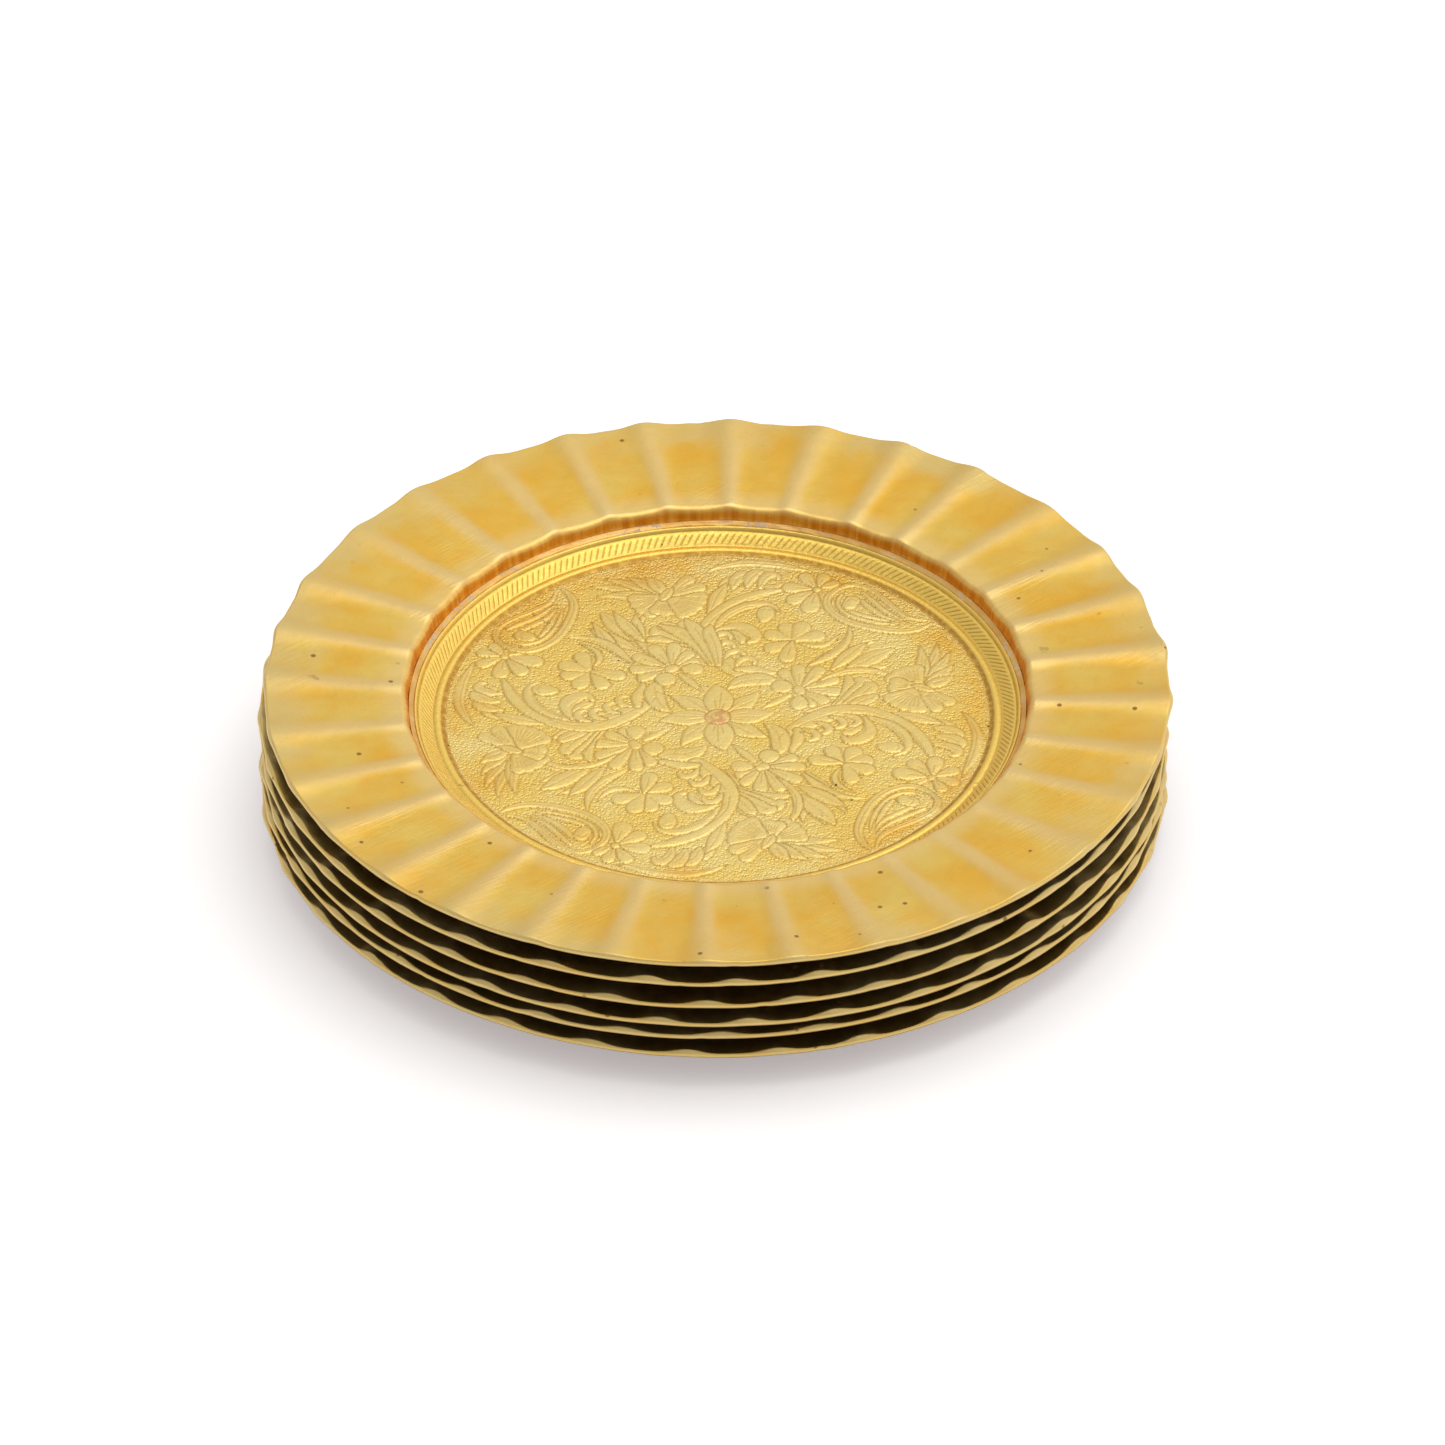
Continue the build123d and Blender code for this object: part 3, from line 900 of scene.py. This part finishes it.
def pan_material(name, offset):
    """Spun brass with years of handling: orange hollows, crests painted paler as a highlight, pale and
    greenish towards the edge.
    """
    s = Shader(name, offset)
    radius = s.from_axis()
    ridge = s.attribute("ridge")
    blotch = s.noise(0.09, 4)
    fine = s.noise(0.5, 4)
    colour = s.mix(s.ramp(blotch, 0.28, 0.82), srgb(228, 177, 65), srgb(225, 195, 102))
    # painted highlight: the crests are painted paler, fading towards the edge
    crest_highlight_strength = s.times(ridge, s.ramp(radius, 74, 60, 0.6, 1.0))
    crest = s.math("ADD", crest_highlight_strength, s.times(blotch, 0.2))
    colour = s.mix(s.ramp(crest, 0.15, 1.0), colour, srgb(226, 193, 122))
    # an outer margin has turned pale and greenish, with a ragged inner border
    wandering = s.math("ADD", radius, s.ramp(s.noise(0.16, 3), 0.25, 0.75, -3.0, 3.0))
    patchy = s.ramp(s.noise(0.035, 2), 0.42, 0.58, 0.25, 1.0)
    tarnish = s.times(s.ramp(wandering, 65.5, 75.0), patchy)
    tarnish = s.math("MAXIMUM", tarnish, s.times(s.attribute("edge"), 0.8))
    colour = s.mix(s.times(tarnish, 0.75), colour, srgb(215, 192, 128))
    near_lip = s.ramp(radius, 57.5, 53.0)
    colour = s.mix(s.times(near_lip, 0.6), colour, srgb(230, 202, 136))
    # the wall of the well has gone orange-brown, in upright streaks
    streak = s.noise(0.9, 3, s.round_the_axis(50))
    wall_colour = s.mix(s.ramp(streak, 0.35, 0.68), srgb(222, 146, 44), srgb(246, 186, 88))
    colour = s.mix(s.attribute("wall"), colour, wall_colour)
    # dark pits and a few larger stains
    pit = s.times(s.ramp(s.spots(0.16), 0.09, 0.05), s.ramp(s.noise(0.05, 1), 0.40, 0.48))
    stain = s.times(s.ramp(s.noise(0.22, 3), 0.70, 0.76), 0.45)
    colour = s.mix(s.math("MAXIMUM", pit, stain), colour, srgb(160, 128, 76))
    speck = s.ramp(s.noise(1.7, 2), 0.30, 0.42, 0.06, 0.0)
    colour = s.mix(speck, colour, srgb(120, 90, 45))
    # painted shade underneath: brown in the middle, and under the rim a near-black painted shade like the
    # shadowed gaps between the stacked trays
    underside_shade = s.mix(s.ramp(radius, 49, 56), srgb(158, 116, 62), srgb(60, 28, 54))
    colour = s.mix(s.times(s.ramp(s.attribute("under"), 0.6, 1.0), 0.95), colour, underside_shade)
    rough = s.math("ADD", s.ramp(fine, 0.3, 0.7, 0.36, 0.44), s.times(tarnish, 0.10))
    rough = s.math("ADD", rough, s.times(pit, 0.3))
    # turning lines, fine buffing and a few scratches
    lines = s.node("ShaderNodeTexNoise", noise_dimensions="1D")
    s.link(radius, lines.inputs["W"])
    lines.inputs["Scale"].default_value = 3.2
    lines.inputs["Detail"].default_value = 4
    normal = s.bump(lines.outputs["Fac"], 0.16, 0.10)
    for degrees in (28, -52):
        patch = s.ramp(s.noise(0.035, 1, s.strokes_place(degrees, 1)), 0.50, 0.62)
        strokes = s.noise(2.6, 2, s.strokes_place(degrees, 0.06))
        normal = s.bump(s.times(strokes, patch), 0.7, 0.08, normal)
    normal = s.bump(s.noise(0.22, 2), 0.16, 0.5, normal)
    normal = s.bump(s.noise(2.2, 3), 0.12, 0.06, normal)
    normal = s.bump(s.math("SUBTRACT", 1.0, pit), 0.15, 0.10, normal)
    metal = s.math("SUBTRACT", 1.0, s.times(s.attribute("edge"), 0.35))
    return s.finish(colour, rough, normal, metal)


def disc_material(name, offset):
    """Engraved brass: pale polished pads, a punched golden ground, and grime with painted shade in the cuts.
    """
    s = Shader(name, offset)
    radius = s.from_axis()
    cut, raised, border = s.attribute("cut"), s.attribute("raised"), s.attribute("border")
    blotch = s.noise(0.10, 4)
    colour = s.mix(s.ramp(blotch, 0.35, 0.7), srgb(231, 198, 106), srgb(233, 209, 134))
    colour = s.mix(s.times(raised, 0.4), colour, srgb(231, 207, 138))
    outer = s.times(s.ramp(radius, 33, 45), s.ramp(s.noise(0.07, 2), 0.45, 0.65))
    colour = s.mix(s.times(outer, 0.6), colour, srgb(226, 172, 62))
    colour = s.mix(border, colour, srgb(240, 205, 104))
    # the cuts, grooves and step are darkened: some grime, and painted shade in the recesses
    darkening = s.ramp(s.noise(0.9, 3), 0.25, 0.6, 0.5, 1.0)
    colour = s.mix(s.times(cut, darkening), colour, srgb(180, 130, 54))
    patch = s.times(s.ramp(s.noise(0.07, 1), 0.64, 0.72), s.ramp(s.noise(1.0, 4), 0.60, 0.70))
    colour = s.mix(s.times(patch, 0.7), colour, srgb(132, 104, 62))
    chalky = s.times(s.ramp(radius, 43.6, 44.5), s.ramp(radius, 45.3, 44.9))
    chalky = s.times(chalky, s.ramp(s.noise(2.2, 3), 0.48, 0.58))
    colour = s.mix(s.times(chalky, 0.7), colour, srgb(246, 222, 146))
    copper = s.times(s.ramp(radius, 2.6, 1.9), s.ramp(s.noise(0.6, 2), 0.35, 0.6))
    colour = s.mix(s.times(copper, 0.75), colour, srgb(214, 150, 104))
    pit = s.times(s.ramp(s.spots(0.22), 0.06, 0.04), s.ramp(s.noise(0.09, 1), 0.5, 0.56))
    colour = s.mix(pit, colour, srgb(96, 74, 44))
    rough = s.math("ADD", s.ramp(s.noise(0.7, 3), 0.3, 0.7, 0.34, 0.44), s.times(cut, 0.15))
    ground = s.math("SUBTRACT", 1.0, s.math("MAXIMUM", raised, border))
    stipple = s.times(s.ramp(s.spots(1.9), 0.1, 0.6), ground)
    normal = s.bump(stipple, 1.0, 0.08)
    normal = s.bump(s.noise(3.2, 3), 0.6, 0.07, normal)
    normal = s.bump(s.noise(1.3, 2), 0.5, 0.12, normal)
    normal = s.bump(s.noise(0.3, 2), 0.15, 0.3, normal)
    normal = s.bump(chalky, 0.6, 0.08, normal)
    return s.finish(colour, rough, normal)


def solder_material(name, offset):
    """Dull brown solder with pale, chalky deposits here and there."""
    s = Shader(name, offset)
    colour = s.mix(s.ramp(s.noise(0.25, 3), 0.35, 0.65), srgb(216, 166, 88), srgb(226, 184, 112))
    chalk = s.times(s.ramp(s.noise(0.10, 1), 0.52, 0.60), s.ramp(s.noise(0.9, 3), 0.50, 0.60))
    colour = s.mix(chalk, colour, srgb(226, 206, 176))
    rough = s.ramp(chalk, 0, 1, 0.42, 0.8)
    normal = s.bump(s.noise(2.5, 3), 0.4, 0.12)
    return s.finish(colour, rough, normal, metallic=0.9)


# ---- the six trays ----
def tray_place(number):
    """Where a tray's base lies: the plane of the flat ring under its CAD pan."""
    node = frame["nodes"][f"tray_{number}_pan"]
    points = np.array([v.co for v in node.data.vertices])
    flat = points[points[:, 2] < points[:, 2].min() + 0.4 * MM]
    plane = np.linalg.lstsq(np.c_[flat[:, :2], np.ones(len(flat))], flat[:, 2], rcond=None)[0]
    low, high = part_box(f"tray_{number}_pan")
    x, y = (low[0] + high[0]) / 2, (low[1] + high[1]) / 2
    z = plane @ (x, y, 1)
    up = Vector((-plane[0], -plane[1], 1)).normalized()
    return Matrix.Translation((x, y, z)) @ Vector((0, 0, 1)).rotation_difference(up).to_matrix().to_4x4()


def piece(mesh, material, number, place, turn, node):
    """Lays a mesh in its tray, turned about the tray's axis, instead of a CAD node."""
    mesh.transform(Matrix.Rotation(math.radians(turn), 4, "Z"))
    mesh.materials.append(material)
    thing = bpy.data.objects.new(mesh.name, mesh)
    bpy.context.scene.collection.objects.link(thing)
    thing.matrix_world = place
    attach(thing, f"tray_{number}")
    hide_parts(node)


# the top tray is seen whole, so it is finer, and its ridges and lip follow the photo rather than the CAD
TOP_LOOK = {"per_flute": 30, "rise": 0.68, "lip_inwards": 0.6, "half_count": 297}
UNDER_LOOK = {"per_flute": 20, "rise": 1.0, "lip_inwards": 0.0, "half_count": 132}

relief = engrave()
for number in range(1, TRAYS + 1):
    hand = np.random.default_rng(100 + number)
    place = tray_place(number)
    look = TOP_LOOK if number == TOP else UNDER_LOOK
    around = FLUTES * look["per_flute"]
    pan = pan_mesh(f"brass_pan_{number}", around, hand, look["rise"], look["lip_inwards"])
    brass = pan_material(f"pan_brass_{number}", 0.37 * number)
    piece(pan, brass, number, place, FLUTE_TURN[number], f"tray_{number}_pan")
    disc = disc_mesh(f"engraved_disc_{number}", relief, look["half_count"], hand)
    brass = disc_material(f"disc_brass_{number}", 0.23 * number)
    piece(disc, brass, number, place, ENGRAVING_TURN[number], f"tray_{number}_disc")
    seam = solder_mesh(f"solder_seam_{number}", 720, hand)
    solder = solder_material(f"solder_{number}", 0.11 * number)
    piece(seam, solder, number, place, 0, f"tray_{number}_solder")

# ---- floor, light and camera ----
FLOOR_WIDTH = 6.0
bpy.ops.mesh.primitive_plane_add(size=FLOOR_WIDTH, location=(0, 0, cad_bounds[0][2]))
floor = bpy.context.object
floor.name = "floor"
floor_look = Shader("floor_paper")
for key, value in (
    ("Base Color", (0.92, 0.92, 0.92, 1)), ("Roughness", 0.9), ("Specular IOR Level", 0.1),
    ("Emission Color", (1, 0.93, 0.91, 1)), ("Emission Strength", 0.36),
):
    floor_look.surface.inputs[key].default_value = value
# seen from below the floor is clear, so that the stack's underside can be looked at
either = floor_look.node("ShaderNodeMixShader")
floor_look.link(floor_look.node("ShaderNodeNewGeometry").outputs["Backfacing"], either.inputs["Fac"])
floor_look.link(floor_look.surface.outputs["BSDF"], either.inputs[1])
floor_look.link(floor_look.node("ShaderNodeBsdfTransparent").outputs["BSDF"], either.inputs[2])
floor_look.link(either.outputs["Shader"], floor_look.tree.nodes["Material Output"].inputs["Surface"])
floor.data.materials.append(floor_look.material)

# a white sky, a little brighter to the right and darker behind the camera
world = bpy.data.worlds.new("studio")
bpy.context.scene.world = world
world.use_nodes = True
sky = Nodes(world.node_tree)
split = sky.node("ShaderNodeSeparateXYZ")
sky.link(sky.node("ShaderNodeTexCoord").outputs["Generated"], split.inputs[0])
strength = sky.times(
    sky.ramp(split.outputs["Z"], 0.0, 0.9, 0.86, 0.78), sky.ramp(split.outputs["Y"], -0.9, 0.2, 0.6, 1.0)
)
strength = sky.times(strength, sky.ramp(split.outputs["X"], -1.0, 1.0, 0.80, 1.30))
background = sky.tree.nodes["Background"]
sky.link(strength, background.inputs["Strength"])
background.inputs["Color"].default_value = (1, 0.99, 0.97, 1)

# one soft light overhead, a little behind the trays and to the right
softbox = bpy.data.lights.new("overhead", "AREA")
softbox.size = 1.2
softbox.energy = 5.5
light = bpy.data.objects.new("overhead", softbox)
bpy.context.scene.collection.objects.link(light)
light.location = (0.25, 0.25, 1.4)
light.rotation_euler = (-light.location).to_track_quat("-Z", "Y").to_euler()

low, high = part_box(f"tray_{TOP}_pan")
rim_centre = Vector(((low[0] + high[0]) / 2, (low[1] + high[1]) / 2, low[2] + TRAY_HEIGHT * MM))
ELEVATION = math.radians(36.87)
DISTANCE = 60 * RIM_RADIUS * MM
RADIUS_IN_FRAME = 0.313841           # the rim's radius, as a share of the frame's width
RIM_ABOVE_MIDDLE = 5.72 * MM         # where the rim's centre shows in the frame
RIM_LEFT_OF_MIDDLE = 0.83 * MM
back = Vector((0, -math.cos(ELEVATION), math.sin(ELEVATION)))
up_in_frame = Vector((0, math.sin(ELEVATION), math.cos(ELEVATION)))
aim = rim_centre - up_in_frame * RIM_ABOVE_MIDDLE + Vector((RIM_LEFT_OF_MIDDLE, 0, 0))
lens = bpy.data.cameras.new("camera")
lens.sensor_width = 36
lens.lens = RADIUS_IN_FRAME * DISTANCE / (RIM_RADIUS * MM) * lens.sensor_width
lens.clip_end = 20
camera = bpy.data.objects.new("camera", lens)
bpy.context.scene.collection.objects.link(camera)
camera.location = aim + back * DISTANCE
camera.rotation_euler = (-back).to_track_quat("-Z", "Y").to_euler()
bpy.context.scene.camera = camera
bpy.context.scene.view_settings.view_transform = "Standard"
